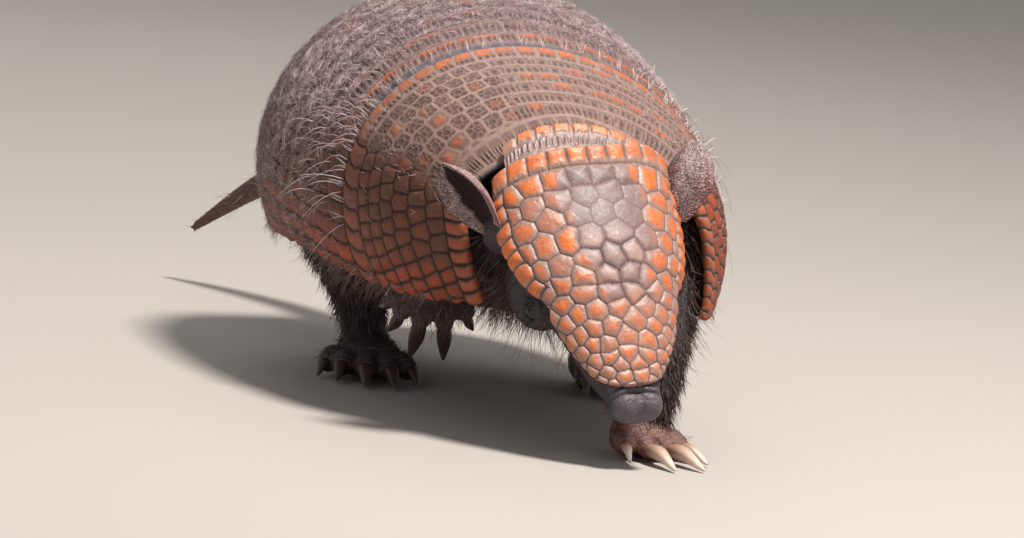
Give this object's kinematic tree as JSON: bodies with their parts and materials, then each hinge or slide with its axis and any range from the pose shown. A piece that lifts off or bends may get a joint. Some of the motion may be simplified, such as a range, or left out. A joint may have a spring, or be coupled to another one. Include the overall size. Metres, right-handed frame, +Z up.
{
  "type": "six-banded armadillo",
  "caption": "Life-size still armadillo walking nose to the ground: domed shell with movable bands over legs, shielded wedge head, scoop ears, long claws and a drooping tail.",
  "frame": {"origin": "on the floor under the middle of the length and width of the whole animal, tail and claws included", "axes": "+X to the animal's left, -Y the way it faces, +Z up"},
  "size_m": [0.1982, 0.5252, 0.1866],
  "materials": {
    "shell_scutes": "matt horny plates, grey-brown with orange edges and short pale hairs",
    "head_scutes": "polished horny plates, orange with grey seams",
    "skin": "wrinkled dark skin with sparse hair",
    "ear_skin": "granular matt skin",
    "eye": "wet dark gloss",
    "claw": "pale horn, satin"
  },
  "bodies": {
    "root": {"band_1": "shell_scutes", "band_2": "shell_scutes", "band_3": "shell_scutes", "band_4": "shell_scutes", "band_5": "shell_scutes", "band_6": "shell_scutes", "band_7": "shell_scutes", "claw_fore_left_1": "claw", "claw_fore_left_2": "claw", "claw_fore_left_3": "claw", "claw_fore_left_4": "claw", "claw_fore_left_5": "claw", "claw_fore_right_1": "claw", "claw_fore_right_2": "claw", "claw_fore_right_3": "claw", "claw_fore_right_4": "claw", "claw_fore_right_5": "claw", "claw_hind_left_1": "claw", "claw_hind_left_2": "claw", "claw_hind_left_3": "claw", "claw_hind_left_4": "claw", "claw_hind_left_5": "claw", "claw_hind_right_1": "claw", "claw_hind_right_2": "claw", "claw_hind_right_3": "claw", "claw_hind_right_4": "claw", "claw_hind_right_5": "claw", "ear_left": "ear_skin", "ear_right": "ear_skin", "eye_left": "eye", "eye_right": "eye", "fore_foot_left": "skin", "fore_foot_right": "skin", "fore_leg_left": "skin", "fore_leg_right": "skin", "head": "skin", "head_shield": "head_scutes", "hind_foot_left": "skin", "hind_foot_right": "skin", "hind_leg_left": "skin", "hind_leg_right": "skin", "hip_shield": "shell_scutes", "neck": "skin", "nuchal_band": "head_scutes", "shoulder_shield": "shell_scutes", "tail_base": "skin", "tail_mid": "skin", "tail_tip": "skin", "trunk": "skin"}
  },
  "joints": []
}
